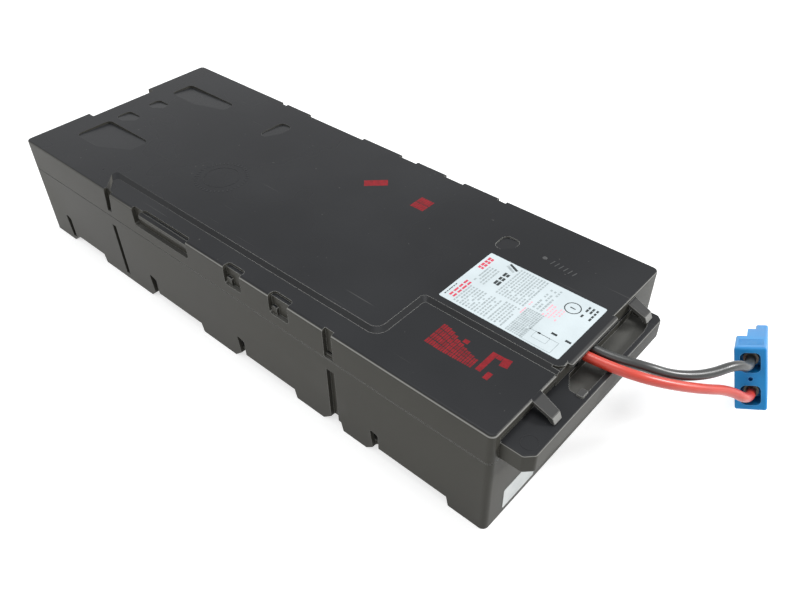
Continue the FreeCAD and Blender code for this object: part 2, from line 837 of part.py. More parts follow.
def tube(points, radii, diameter):
    # Straight runs joined by tangent arcs, swept with a round section.
    edges = []
    at = points[0]
    for i in range(1, len(points) - 1):
        start, middle, end = corner_arc(points[i - 1], points[i], points[i + 1], radii[i - 1])
        if at.distanceToPoint(start) > 1e-6:
            edges.append(Part.LineSegment(at, start).toShape())
        edges.append(Part.Arc(start, middle, end).toShape())
        at = end
    edges.append(Part.LineSegment(at, points[-1]).toShape())
    path = Part.Wire(edges)
    length = sum(edge.Length for edge in edges)
    direction = points[1] - points[0]
    section = Part.Wire(Part.makeCircle(diameter / 2, points[0], direction))
    solid = path.makePipeShell([section], True, False)
    expected = math.pi * diameter ** 2 / 4 * length
    print("  tube d %.1f length %.1f volume ratio %.4f radii %s" % (
        diameter, length, solid.Volume / expected, [round(r, 1) for r in radii]))
    return solid


def route_radii(points):
    # Each arc as large as its two runs allow.
    radii = []
    for i in range(1, len(points) - 1):
        back = points[i - 1] - points[i]
        ahead = points[i + 1] - points[i]
        half_turn = (math.pi - back.getAngle(ahead)) / 2
        radii.append(0.45 * min(back.Length, ahead.Length) / math.tan(half_turn))
    return radii


def link_over_gap(first, second):
    # Short link between two facing push-on connectors: up, over and down again.
    height = link_arch
    radius = (second.x - first.x) / 2 - 0.05
    points = [first, first + Vector(0, 0, height), second + Vector(0, 0, height), second]
    return tube(points, [radius] * 2, link_diameter)


def channel_run(start, level, end_points, diameter, bend):
    # From a push-on connector up to its level, out into the side channel and along it.
    points = [
        start,
        Vector(start.x, start.y, level),
        Vector(start.x, channel_y, level),
    ]
    points += end_points
    return tube(points, [bend] * (len(points) - 2), diameter)


def lead_exit_y(name):
    return exit_y if name == "red" else exit_y + lead_spacing


def grommet_span():
    centre = exit_y + lead_spacing / 2
    return centre - grommet_width / 2, centre + grommet_width / 2


def lead_start_x():
    return case_length + grommet_outer


def inner_lead(name, start):
    level = channel_levels[name]
    turn_x = fourth_block + block_height + lead_diameter / 2 + lead_turn_gap
    y = lead_exit_y(name)
    climb = (exit_z - level) / math.tan(math.radians(lead_climb))
    ends = [
        Vector(turn_x, channel_y, level),
        Vector(turn_x, y + climb, level),
        Vector(turn_x, y, exit_z),
        Vector(lead_start_x(), y, exit_z),
    ]
    return channel_run(start, level, ends, lead_diameter, channel_bend)


def cable_grommet():
    y0, y1 = grommet_span()
    gap = grommet_gap
    z0 = ledge_bar_top + lap_clearance
    z1 = platform_top - tongue_thickness
    x0 = case_length - wall - grommet_inner
    neck = box(x0, case_length + grommet_outer, y0 + gap, y1 - gap, z0, z1 - gap)
    flange = rounded_plate(x0, case_length - wall - gap, y0 - grommet_lip, y1 + grommet_lip, z0, z1 - gap, 0.6)
    shape = fuse_all([neck, flange])
    for name in ("red", "black"):
        centre = Vector(case_length - 12, lead_exit_y(name), exit_z)
        hole = Part.makeCylinder(lead_diameter / 2 + gap, 20, centre, Vector(1, 0, 0))
        shape = shape.cut(hole)
    return shape


# Connector at the end of the leads

def connector_placement():
    # Turns the connector's own axes into the cartridge's: along, across and side.
    turn = math.radians(connector_turn)
    tilt = math.radians(connector_tilt)
    along = Vector(math.cos(turn) * math.cos(tilt), math.sin(turn) * math.cos(tilt), -math.sin(tilt))
    level_side = Vector(math.sin(turn), -math.cos(turn), 0)
    level_across = level_side.cross(along)
    roll = math.radians(connector_roll)
    across = level_across * math.cos(roll) - level_side * math.sin(roll)
    side = level_side * math.cos(roll) + level_across * math.sin(roll)
    # The lower corner of its nose rests on the floor.
    nose = along * connector_length - across * connector_width / 2
    nose += side * (second_step[1] - connector_thickness / 2)
    origin = Vector(connector_rear_x, connector_rear_y, floor_clearance - nose.z)
    matrix = FreeCAD.Matrix(
        along.x, across.x, side.x, origin.x,
        along.y, across.y, side.y, origin.y,
        along.z, across.z, side.z, origin.z,
        0, 0, 0, 1)
    return matrix


def placed(shape):
    return shape.transformed(connector_placement(), True)


def connector_point(along, across, side):
    return connector_placement().multVec(Vector(along, across, side))


def connector_housing():
    half_w = connector_width / 2
    half_t = connector_thickness / 2
    step_one, drop_one = first_step
    step_two, drop_two = second_step
    profile = [
        Vector(0, -half_w, -half_t),
        Vector(step_one, -half_w, -half_t),
        Vector(step_one, -half_w, -half_t + drop_one),
        Vector(step_two, -half_w, -half_t + drop_one),
        Vector(step_two, -half_w, -half_t + drop_two),
        Vector(connector_length, -half_w, -half_t + drop_two),
        Vector(connector_length, -half_w, half_t),
        Vector(0, -half_w, half_t),
    ]
    body = prism(profile, [1.0, 1.0, 0, 0.8, 0, 0.8, 1.5, 1.5], Vector(0, connector_width, 0))
    long_edges = edges_where(body, lambda b: b.XLength > 5 and b.YLength < 0.01 and b.ZMax > half_t - 0.01)
    body = body.makeFillet(1.5, long_edges)
    for sign in (-1, 1):
        pole = sign * pole_spacing / 2
        w = wire_entry_width / 2
        h = wire_entry_height / 2
        entry = [
            Vector(-1, pole - w, -h),
            Vector(-1, pole + w, -h),
            Vector(-1, pole + w, h),
            Vector(-1, pole - w, h),
        ]
        body = body.cut(prism(entry, [3.0] * 4, Vector(wire_entry_depth + 1, 0, 0)))
        slot_half = contact_width / 2 + fit_gap
        z0 = -half_t + drop_one
        floor = z0 + contact_thickness + spring_thickness + 3 * fit_gap
        body = body.cut(box(wire_entry_depth - 1, contact_end + fit_gap, pole - slot_half, pole + slot_half,
                            z0 - 0.01, floor))
    body = body.cut(Part.makeCylinder(pin_hole_radius, pin_hole_depth + 1, Vector(-1, 0, 0), Vector(1, 0, 0)))
    for i in range(ridge_count):
        x = ridge_start + i * ridge_pitch
        for edge_y in (-half_w - ridge_depth, half_w - ridge_depth):
            body = body.cut(box(x, x + ridge_width, edge_y, edge_y + 2 * ridge_depth, -half_t * 0.8,
                                half_t * 0.8))
    return body


def contact(sign):
    # Flat blade with a round crimp barrel on the end of the wire.
    pole = sign * pole_spacing / 2
    half_t = connector_thickness / 2
    z0 = -half_t + first_step[1] + fit_gap
    half = contact_width / 2
    blade = box(wire_entry_depth - 3, contact_end, pole - half, pole + half, z0, z0 + contact_thickness)
    barrel_length = wire_entry_depth - barrel_start - 0.3
    barrel = Part.makeCylinder(crimp_diameter / 2, barrel_length, Vector(barrel_start, pole, 0),
                               Vector(1, 0, 0))
    return fuse_all([blade, barrel])


def contact_spring(sign):
    # Leaf spring under the blade.
    pole = sign * pole_spacing / 2
    half = contact_width / 2 - 0.8
    z0 = -connector_thickness / 2 + first_step[1] + fit_gap + contact_thickness + fit_gap / 2
    return box(wire_entry_depth + 2, contact_end - 4, pole - half, pole + half, z0, z0 + spring_thickness)


# Routes of the two free leads, from the grommet to the crimp barrels of the connector.
# X from the cable end of the case, Y from the centre line. The points are placed by hand.
red_route = [
    (6.9, -2.0, 73.9),
    (28.4, 1.9, 73.5),
    (42.8, 16.0, 65.4),
    (55.2, 34.2, 55.5),
    (64.7, 53.8, 45.2),
]
black_route = [
    (12.0, 5.2, 73.9),
    (29.5, 12.4, 72.7),
    (42.0, 25.7, 63.4),
    (54.0, 43.0, 58.7),
    (62.3, 62.1, 57.7),
]


def lead_points(name):
    start = Vector(lead_start_x(), lead_exit_y(name), exit_z)
    route = red_route if name == "red" else black_route
    across = (-1 if name == "red" else 1) * pole_spacing / 2
    end = connector_point(barrel_start, across, 0)
    before = connector_point(-lead_standoff, across, 0)
    return [start] + [Vector(case_length + x, y, z) for x, y, z in route] + [before, end]


def free_lead(name):
    points = lead_points(name)
    return tube(points, route_radii(points), lead_diameter)


# Label and sticker

def rating_label():
    x0, x1, y0, y1 = rating_label_area
    return rounded_plate(x0, x1, y0, y1, platform_top, platform_top + label_thickness, label_corner)


def front_sticker():
    y0, y1, z0, z1 = front_sticker_area
    points = [Vector(case_length, y0, z0), Vector(case_length, y1, z0), Vector(case_length, y1, z1),
              Vector(case_length, y0, z1)]
    return prism(points, [label_corner] * 4, Vector(label_thickness, 0, 0))


def foam_pad(x0):
    centre_x = x0 + block_height / 2
    y0 = max(platform_side + wall + 4, -foam_width / 2)
    if x0 + block_height > platform_step - wall:
        y0 = platform_near_side + wall + 4
    return rounded_plate(centre_x - foam_length / 2, centre_x + foam_length / 2, y0, foam_width / 2,
                         block_top, platform_under - foam_gap, 2.0)


os.makedirs("parts", exist_ok=True)

save("lower_tray", lower_tray())
save("upper_cover", upper_cover())

left_y, right_y = blade_ys()
positives = []
negatives = []
boots = []
starts = {}
for number, (x0, facing) in enumerate(block_places, start=1):
    save("battery_block_%d" % number, battery_block(x0, facing))
    save("foam_pad_%d" % number, foam_pad(x0))
    # Blocks that face the cable end have their positive terminal on the left.
    positive_y = left_y if facing > 0 else right_y
    negative_y = right_y if facing > 0 else left_y
    positives.append(blade(x0, facing, positive_y))
    negatives.append(blade(x0, facing, negative_y))
    for pole, y in (("positive", positive_y), ("negative", negative_y)):
        cap, start = boot(x0, facing, y)
        boots.append(cap)
        starts[(number, pole)] = start
save("positive_terminals", Part.makeCompound(positives))
save("negative_terminals", Part.makeCompound(negatives))
save("terminal_boots", Part.makeCompound(boots))

save("link_wire_1_2", link_over_gap(starts[(1, "positive")], starts[(2, "negative")]))
save("link_wire_3_4", link_over_gap(starts[(3, "positive")], starts[(4, "negative")]))
link_level = channel_levels["link"]
link_end = starts[(3, "negative")]
link_corners = [
    Vector(link_end.x, channel_y, link_level),
    Vector(link_end.x, link_end.y, link_level),
    link_end,
]
link_start = starts[(2, "positive")]
save("link_wire_2_3", channel_run(link_start, link_level, link_corners, link_diameter, link_bend))
save("inner_black_lead", inner_lead("black", starts[(1, "negative")]))
save("inner_red_lead", inner_lead("red", starts[(4, "positive")]))
save("cable_grommet", cable_grommet())

save("black_lead", free_lead("black"))
save("red_lead", free_lead("red"))
save("connector_housing", placed(connector_housing()))
save("contact_red", placed(contact(-1)))
save("contact_black", placed(contact(1)))
save("contact_springs", placed(Part.makeCompound([contact_spring(-1), contact_spring(1)])))

save("rating_label", rating_label())
save("front_sticker", front_sticker())
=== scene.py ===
# %% [markdown]
# # A battery cartridge in black plastic
#
# This lesson dresses a packed engineering model as it would look on a studio table.
# The model is a flat black case with a cover, two leads and a blue power connector. Every
# object here is in metres and already in its place, because the engineering model says where
# each piece is. We only add cords, printed marks, moulded marks, finishes, a floor, lamps and a
# camera.

# %% Load the packed model
import math

import bmesh
import bpy
from mathutils import Matrix, Vector


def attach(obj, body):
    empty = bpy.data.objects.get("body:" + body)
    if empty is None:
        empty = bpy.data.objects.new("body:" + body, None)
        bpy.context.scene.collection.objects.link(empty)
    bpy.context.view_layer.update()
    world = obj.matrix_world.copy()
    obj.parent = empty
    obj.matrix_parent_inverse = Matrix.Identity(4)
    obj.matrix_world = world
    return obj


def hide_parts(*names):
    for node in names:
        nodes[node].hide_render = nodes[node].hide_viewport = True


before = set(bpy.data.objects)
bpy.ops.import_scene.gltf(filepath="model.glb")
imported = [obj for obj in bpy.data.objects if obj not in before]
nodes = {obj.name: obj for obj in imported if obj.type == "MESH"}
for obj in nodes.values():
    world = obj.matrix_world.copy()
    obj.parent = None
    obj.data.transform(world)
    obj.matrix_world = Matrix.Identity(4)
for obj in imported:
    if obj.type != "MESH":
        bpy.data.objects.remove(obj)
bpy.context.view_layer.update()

collection = bpy.context.scene.collection

# %% [markdown]
# ## The camera
#
# The case is a box of known size, so its corners in the photograph fix the camera: where it
# stands, where it looks and how long its lens is. The three directions below are the columns
# of the camera's rotation: to the right, up, and back towards the viewer.

# %% Place the camera
RIGHT = (0.75132, 0.65984, -0.01175)
UP = (-0.42804, 0.50078, 0.75233)
BACK = (0.50230, -0.56021, 0.65868)
CAMERA_PLACE = (0.331488, -0.285648, 0.371386)
SENSOR_MM = 36.0
LENS_MM = 35.01
NEAREST_SEEN = 0.01

camera_data = bpy.data.cameras.new("photo_camera")
camera_data.sensor_width = SENSOR_MM
camera_data.lens = LENS_MM
camera_data.clip_start = NEAREST_SEEN
camera = bpy.data.objects.new("photo_camera", camera_data)
turned = Matrix((RIGHT, UP, BACK)).transposed().to_4x4()
camera.matrix_world = Matrix.Translation(CAMERA_PLACE) @ turned
collection.objects.link(camera)
bpy.context.scene.camera = camera
bpy.context.scene.view_settings.view_transform = "Standard"
print("camera at", [round(v, 3) for v in camera.location], "lens", camera_data.lens)

# %% [markdown]
# ## The two leads
#
# A thick lead is stiff, so it leaves the case straight, bows over, and dives into the back of
# the connector. It could be a tube swept by hand, but a NURBS spline through a few listed
# control points bends that way by itself, and its points are the ones that the engineering
# model's plain tubes follow. The spline's order is set after its points, because before that
# the spline has too few to bend.
#
# Each point's radius carries the thickness, and the bevel depth is 1. Blender's box of a curve
# counts the radius of its points, so with their usual radius the box would be a metre too big.

# %% Draw the leads
LEAD_DIAMETER = 0.0058
SPLINE_ORDER = 3
STEPS_ALONG = 20
ROUNDNESS = 7
RED_ROUTE = [
    (0.2096, -0.002, 0.0739), (0.2149, -0.002, 0.0739), (0.2364, 0.0019, 0.0735),
    (0.2508, 0.016, 0.0654), (0.2632, 0.0342, 0.0555), (0.2727, 0.0538, 0.0452),
    (0.282823, 0.068973, 0.030376), (0.279038, 0.084157, 0.023734),
]
BLACK_ROUTE = [
    (0.2096, 0.0052, 0.0739), (0.22, 0.0052, 0.0739), (0.2375, 0.0124, 0.0727),
    (0.25, 0.0257, 0.0634), (0.262, 0.043, 0.0587), (0.2703, 0.0621, 0.0577),
    (0.275185, 0.07475, 0.047934), (0.271399, 0.089934, 0.041292),
]


def lead(name, route):
    line = bpy.data.curves.new(name, "CURVE")
    line.dimensions = "3D"
    line.bevel_depth = 1.0
    line.bevel_resolution = ROUNDNESS
    line.resolution_u = STEPS_ALONG
    line.use_fill_caps = True
    spline = line.splines.new("NURBS")
    spline.points.add(len(route) - 1)
    for point, place in zip(spline.points, route):
        point.co = (*place, 1.0)
        point.radius = LEAD_DIAMETER / 2
    spline.order_u = SPLINE_ORDER
    spline.use_endpoint_u = True
    made = bpy.data.objects.new(name, line)
    collection.objects.link(made)
    return made


red_cord = lead("red_cord", RED_ROUTE)
black_cord = lead("black_cord", BLACK_ROUTE)
print("points", len(RED_ROUTE), "and", len(BLACK_ROUTE))


# %% Measure the leads
def spline_length(curve_object):
    """The length of the bare line, without its thickness."""
    bare = curve_object.copy()
    bare.data = curve_object.data.copy()
    bare.data.bevel_depth = 0.0
    collection.objects.link(bare)
    seen = bare.evaluated_get(bpy.context.evaluated_depsgraph_get())
    mesh = bpy.data.meshes.new_from_object(seen)
    length = sum((mesh.vertices[a].co - mesh.vertices[b].co).length for a, b in
                 (edge.vertices for edge in mesh.edges))
    bpy.data.objects.remove(bare)
    bpy.data.meshes.remove(mesh)
    return length


red_length = spline_length(red_cord)
black_length = spline_length(black_cord)
print("leads in mm", round(red_length * 1000, 1), round(black_length * 1000, 1))

for cord, cad_node, route, length in (
    (red_cord, "red_lead", RED_ROUTE, red_length),
    (black_cord, "black_lead", BLACK_ROUTE, black_length),
):
    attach(cord, "root")
    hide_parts(cad_node)
    print(cord.name, "takes the place of", cad_node)

# %% [markdown]
# ## A small language for nodes
#
# Materials and grown shapes are both trees of nodes. Writing them as sums is shorter than
# wiring them by hand, so one class wraps an output socket and answers to + - * /, and one
# method makes any other node. The same two serve shader trees and geometry trees.

# %% Wrap sockets in arithmetic
class Signal:
    """One output of a node, which takes part in sums."""

    def __init__(self, sheet, socket):
        self.sheet = sheet
        self.socket = socket

    def maths(self, operation, *values):
        return self.sheet.maths(operation, self, *values)

    def __add__(self, other):
        return self.maths("ADD", other)

    __radd__ = __add__

    def __mul__(self, other):
        return self.maths("MULTIPLY", other)

    __rmul__ = __mul__

    def __sub__(self, other):
        return self.maths("SUBTRACT", other)

    def __rsub__(self, other):
        return self.sheet.maths("SUBTRACT", other, self)

    def __truediv__(self, other):
        return self.maths("DIVIDE", other)

    def __rtruediv__(self, other):
        return self.sheet.maths("DIVIDE", other, self)

    def ramp(self, start, end, low=0.0, high=1.0):
        """low at start, high at end, and in between along a smooth step."""
        return self.sheet.node("ShaderNodeMapRange", {"interpolation_type": "SMOOTHSTEP"},
                               {"Value": self, "From Min": start, "From Max": end,
                                "To Min": low, "To Max": high}, "Result")


print("reflected forms", [name for name in vars(Signal) if name.startswith("__r")])


# %% Make any node
class Sheet:
    """A node tree under construction."""

    def __init__(self, tree):
        self.tree = tree

    def node(self, kind, settings=None, values=None, result=0):
        """A new node: its settings are set first, then its inputs are set or linked."""
        made = self.tree.nodes.new(kind)
        for key, value in (settings or {}).items():
            setattr(made, key, value)
        for key, value in (values or {}).items():
            self.feed(self.pick(made.inputs, key), value)
        return Signal(self, self.pick(made.outputs, result))

    def pick(self, sockets, key):
        if isinstance(key, int):
            return sockets[key]
        return next(s for s in sockets if key in (s.identifier, s.name) and s.enabled)

    def feed(self, socket, value):
        if isinstance(value, Signal):
            self.tree.links.new(value.socket, socket)
        else:
            socket.default_value = value

    def maths(self, operation, *values):
        return self.node("ShaderNodeMath", {"operation": operation}, dict(enumerate(values)))


print("a sheet can", [name for name in vars(Sheet) if not name.startswith("_")])

# %% [markdown]
# ## What every finish shares
#
# Each finish starts from the Principled shader. Patterns read Object coordinates, which are
# metres on the model, so a grain of half a millimetre stays that size on each piece. An edge
# is where the true normal and one softened by the Bevel node part company.

# %% A finish
EDGE_SAMPLES = 4
EDGE_FADE = (0.006, 0.03)
PATCH_FADE = (0.3, 0.7)
ROUGH_FADE = (0.2, 0.8)


class Finish(Sheet):
    """A material and its shader tree."""

    def __init__(self, name, **constants):
        self.material = bpy.data.materials.new(name)
        self.material.use_nodes = True
        super().__init__(self.material.node_tree)
        self.shader = next(n for n in self.tree.nodes if n.type == "BSDF_PRINCIPLED")
        for key, value in constants.items():
            self.shader.inputs[key.replace("_", " ")].default_value = value
        self.place = self.node("ShaderNodeTexCoord", result="Object")

    def put(self, key, value):
        self.feed(self.pick(self.shader.inputs, key), value)

    def noise(self, scale, detail=2.0, rough=0.5, where=None):
        return self.node("ShaderNodeTexNoise", {},
                         {"Vector": where or self.place, "Scale": scale, "Detail": detail,
                          "Roughness": rough}, "Fac")

    def stretched(self, scale, turn):
        return self.node("ShaderNodeMapping", {},
                         {"Vector": self.place, "Scale": scale, "Rotation": turn})

    def mix(self, factor, first, second):
        return self.node("ShaderNodeMix", {"data_type": "RGBA"},
                         {"Factor_Float": factor, "A_Color": first, "B_Color": second},
                         "Result_Color")

    def bump(self, height, distance, strength, under=None):
        values = {"Height": height, "Distance": distance, "Strength": strength}
        if under:
            values["Normal"] = under
        return self.node("ShaderNodeBump", {}, values)

    def edge_mask(self, radius):
        """1 on the sharp edges of the shape and 0 on its flats."""
        soft = self.node("ShaderNodeBevel", {"samples": EDGE_SAMPLES}, {"Radius": radius})
        hard = self.node("ShaderNodeNewGeometry", result="Normal")
        same = self.node("ShaderNodeVectorMath", {"operation": "DOT_PRODUCT"},
                         {0: soft, 1: hard}, "Value")
        return (1 - same).ramp(*EDGE_FADE)

    def facing(self, axis):
        """How far a face looks along one axis: for Z, 1 on a floor and 0 on a wall."""
        normal = self.node("ShaderNodeNewGeometry", result="Normal")
        return self.node("ShaderNodeSeparateXYZ", {}, {0: normal}, axis)

    def along(self, axis):
        """The place on the model along one axis, in metres."""
        return self.node("ShaderNodeSeparateXYZ", {}, {0: self.place}, axis)


print("a finish adds", [name for name in vars(Finish) if not name.startswith("_")])


# %% Colours as a picture gives them
def rgb(red, green, blue):
    """A colour given in the 0 to 255 numbers of a picture, as the linear light shaders want."""
    def linear(value):
        value /= 255
        return value / 12.92 if value <= 0.04045 else ((value + 0.055) / 1.055) ** 2.4
    return (linear(red), linear(green), linear(blue), 1.0)


print("mid grey is", round(rgb(128, 128, 128)[0], 3))

# %% [markdown]
# ## Black moulded plastic
#
# The case is injection moulded in black styrene plastic. Its surface isn't perfectly flat: it
# sinks a little over the ribs, so the room's reflection wavers. A fine spark-eroded grain
# breaks up the gloss, handling leaves hair-thin scratches, and dust settles on what looks up.
# Noise at several sizes gives these.
#
# Other colours follow the shape, and they are painted light. The walls are lighter and warmer
# than the tops, a painted reflection of the pale floor. Sharp and rounded edges are painted pale
# as painted highlights, most of all towards the end that is held to pull the cartridge out. The
# low trough is painted lighter, as painted fill light in its shade, and the two straps are painted
# paler, as a painted sheen. All this could be painted on an image, but masks made from a face's
# direction, its place and its edges stay sharp from near and fit every piece of the case. Only
# roughness, colour and normal change.

# %% Where the case gets painted highlights, painted fill light and a painted sheen
UP_FADE = (0.6, 0.95)
ROUND_FADE_IN = (0.25, 0.45)
ROUND_FADE_OUT = (0.6, 0.75)
EDGE_REACH = 0.0004
HIGHLIGHT_ALONG_FADE = (-0.14, 0.04)
LEAST_EDGE_HIGHLIGHT = 0.16
HOLLOW_FADE = (0.066, 0.0685)
STRAP_PLACE_FADE = (0.2084, 0.2094)
STRAP_LEVEL_FADE = (0.0702, 0.0708)


def edge_highlight_mask(f, lift):
    """1 where edge highlights are painted: edges and roundings near the pull ledge, fading towards
    the far end.
    """
    rounded = lift.ramp(*ROUND_FADE_IN) * lift.ramp(*ROUND_FADE_OUT, 1.0, 0.0)
    highlight_along = f.along("X").ramp(*HIGHLIGHT_ALONG_FADE, LEAST_EDGE_HIGHLIGHT, 1.0)
    return f.edge_mask(EDGE_REACH).maths("MAXIMUM", rounded) * highlight_along


def trough_fill_light_mask(f, up):
    """1 on what looks up from the trough or from lower still, where fill light is painted."""
    return f.along("Z").ramp(*HOLLOW_FADE, 1.0, 0.0) * up


def strap_sheen_mask(f):
    """1 on the straps, where they reach past the cover and over the pull ledge; a sheen is painted
    there.
    """
    return f.along("X").ramp(*STRAP_PLACE_FADE) * f.along("Z").ramp(*STRAP_LEVEL_FADE)


# Below this level, faces that look up are painted lighter, as painted fill light in the trough.
print("dust lies below", HOLLOW_FADE[0] * 1000, "mm")

# %% Scratches and specks on the case
SCRATCH_STRETCH = (14.0, 900.0, 14.0)
SCRATCH_TURN = (0.1, 0.2, 0.55)
SCRATCH_FADE = (0.71, 0.79)
SCRATCHED_AREA_FADE = (0.5, 0.65)
SPECK_SCALE = 430.0
SPECK_FADE = (0.78, 0.84)


def scratch_mask(f):
    """1 on hair-thin lines, which come in patches. The stretch draws the noise out."""
    hairs = f.noise(1.0, 2.0, 0.4, f.stretched(SCRATCH_STRETCH, SCRATCH_TURN))
    return hairs.ramp(*SCRATCH_FADE) * f.noise(20.0, 1.0).ramp(*SCRATCHED_AREA_FADE)


def speck_mask(f, up):
    """1 on small specks of dust, and only on what looks up."""
    return f.noise(SPECK_SCALE, 1.0, 0.5).ramp(*SPECK_FADE) * up


print("scratches are drawn out", round(SCRATCH_STRETCH[1] / SCRATCH_STRETCH[0]), "times")

# %% The case finish
TROUGH_FILL_LIGHT = 0.9
STRAP_SHEEN = 0.6
EDGE_HIGHLIGHT = 0.75
SCRATCH_SHARE = 0.35
SPECK_SHARE = 0.4
WALL_ROUGHNESS = 0.36
TOP_IS_SMOOTHER = 0.08
SCRATCH_IS_ROUGHER = 0.2
SINK_DEPTH = 0.0006
GRAIN_DEPTH = 0.00006


def case_finish():
    f = Finish("black_moulded_plastic", IOR=1.52, Specular_IOR_Level=0.09)
    lift = f.facing("Z")
    up = lift.ramp(*UP_FADE)
    mottle = f.noise(9.0, 3.0)
    patches = mottle.ramp(*PATCH_FADE)
    # The walls are lighter and warmer than the tops: their colour is a painted reflection of the
    # pale floor.
    flat = f.mix(patches, rgb(38, 39, 41), rgb(44, 45, 47))
    side = f.mix(patches, rgb(60, 59, 55), rgb(68, 67, 62))
    base_with_painted_reflection = f.mix(up, side, flat)
    # The trough's upward faces are painted lighter: painted fill light in its shade.
    with_trough_fill_light = f.mix(trough_fill_light_mask(f, up) * TROUGH_FILL_LIGHT, base_with_painted_reflection, rgb(90, 90, 87))
    # The straps are painted paler: a painted sheen, the light that they catch.
    with_strap_sheen = f.mix(strap_sheen_mask(f) * STRAP_SHEEN, with_trough_fill_light, rgb(84, 84, 83))
    # Edges are painted pale: painted highlights, strongest towards the pull end.
    with_edge_highlight = f.mix(edge_highlight_mask(f, lift) * EDGE_HIGHLIGHT, with_strap_sheen, rgb(158, 158, 155))
    scratches = scratch_mask(f)
    marked = (scratches * SCRATCH_SHARE).maths("MAXIMUM", speck_mask(f, up) * SPECK_SHARE)
    f.put("Base Color", f.mix(marked, with_edge_highlight, rgb(110, 110, 108)))
    smooth = WALL_ROUGHNESS - up * TOP_IS_SMOOTHER
    uneven = mottle.ramp(*PATCH_FADE, -0.04, 0.05)
    f.put("Roughness", smooth + uneven + scratches * SCRATCH_IS_ROUGHER)
    waves = f.bump(f.noise(16.0, 1.0, 0.3), SINK_DEPTH, 0.35)
    f.put("Normal", f.bump(f.noise(1500.0, 2.0, 0.6), GRAIN_DEPTH, 0.35, waves))
    return f.material


case_plastic = case_finish()
print("made", case_plastic.name, "with", len(case_plastic.node_tree.nodes), "nodes")

# %% [markdown]
# ## Lead insulation and connector plastic
#
# The leads are coated in soft vinyl that was drawn through a die, which leaves it a little
# uneven. Two noises in the bump give that, and a thin rough coat gives the broad soft shine.
# The connector is a harder, brighter moulding, paler on its edges. A measured shine
# could be mixed from several shaders, but the Principled shader already holds both layers.

# %% Vinyl on the leads
def vinyl_finish(name, main, shade):
    f = Finish(name, IOR=1.5, Coat_Weight=0.35, Coat_Roughness=0.26)
    patch = f.noise(60.0, 2.0)
    fine = f.noise(1400.0, 2.0, 0.6)
    f.put("Base Color", f.mix(patch.ramp(0.3, 0.75), main, shade))
    f.put("Roughness", patch.ramp(*ROUGH_FADE, 0.36, 0.48))
    f.put("Normal", f.bump(fine, 0.00005, 0.3, f.bump(f.noise(240.0, 1.0), 0.0002, 0.25)))
    return f.material


red_vinyl = vinyl_finish("red_vinyl", rgb(202, 62, 44), rgb(190, 54, 40))
black_vinyl = vinyl_finish("black_vinyl", rgb(32, 34, 34), rgb(46, 49, 48))
print("made", red_vinyl.name, "and", black_vinyl.name)

# %% Blue connector plastic
CONNECTOR_EDGE_REACH = 0.0006


def connector_finish():
    f = Finish("blue_connector_plastic", IOR=1.53, Specular_IOR_Level=0.3)
    patch = f.noise(45.0, 2.0)
    blue = f.mix(patch.ramp(*PATCH_FADE), rgb(20, 128, 196), rgb(28, 140, 206))
    edge = f.edge_mask(CONNECTOR_EDGE_REACH)
    f.put("Base Color", f.mix(edge * 0.5, blue, rgb(120, 185, 232)))
    f.put("Roughness", patch.ramp(*ROUGH_FADE, 0.34, 0.44))
    f.put("Normal", f.bump(f.noise(1800.0, 2.0, 0.6), 0.00006, 0.3))
    return f.material


blue_plastic = connector_finish()
print("made", blue_plastic.name)

# %% [markdown]
# ## Rubber, foam, metal and film
#
# The other pieces are each one colour that wanders a little, under a fine grain. Most of them
# hide inside the case, where a finish of their own would be lost. So one recipe serves them
# all, with a number for the roughness, the metal, the grain and the gloss.

# %% Plain finishes
ROUGHNESS_SPREAD = 0.12


def plain_finish(name, first, second, rough, scale=30.0, metal=0.0, grain=900.0, depth=0.00005,
                 gloss=0.5):
    f = Finish(name, Metallic=metal, Specular_IOR_Level=gloss)
    patch = f.noise(scale, 3.0)
    f.put("Base Color", f.mix(patch.ramp(*PATCH_FADE), first, second))
    f.put("Roughness", patch.ramp(*ROUGH_FADE, rough, rough + ROUGHNESS_SPREAD))
    f.put("Normal", f.bump(f.noise(grain, 2.0), depth, 0.4))
    return f.material


grommet_rubber = plain_finish("grommet_rubber", rgb(30, 31, 31), rgb(42, 43, 42), 0.55)
block_plastic = plain_finish("grey_block_plastic", rgb(74, 77, 80), rgb(84, 87, 90), 0.42)
foam = plain_finish("closed_cell_foam", rgb(52, 53, 55), rgb(66, 67, 69), 0.85,
                    scale=120.0, grain=1100.0, depth=0.0004)
terminal_metal = plain_finish("tinned_terminal", rgb(176, 176, 172), rgb(196, 196, 190), 0.28,
                              scale=200.0, metal=1.0)
boot_plastic = plain_finish("boot_vinyl", rgb(188, 188, 180), rgb(204, 204, 196), 0.45)
# The contacts are far darker than bright silver: painted shade for the connector's openings.
contact_metal_painted_shade = plain_finish("silver_plated_contact", rgb(92, 88, 82), rgb(110, 106, 98), 0.4,
                             scale=220.0, metal=1.0)
spring_steel = plain_finish("spring_steel", rgb(150, 151, 153), rgb(168, 169, 170), 0.3,
                            scale=180.0, metal=1.0)
label_film = plain_finish("white_label_film", rgb(192, 203, 207), rgb(200, 211, 215), 0.34,
                          scale=40.0, grain=700.0, depth=0.00002)
sticker_film = plain_finish("grey_white_sticker", rgb(196, 200, 200), rgb(214, 217, 216), 0.4,
                            scale=60.0)
print("label film is", [round(v, 2) for v in rgb(200, 211, 215)[:3]], "in linear light")

# %% [markdown]
# ## Each piece gets its finish
#
# The pieces could be told apart by their shape, but they arrive with names. A table from name
# to finish is the plainest way, and a piece that it forgets stops the script.

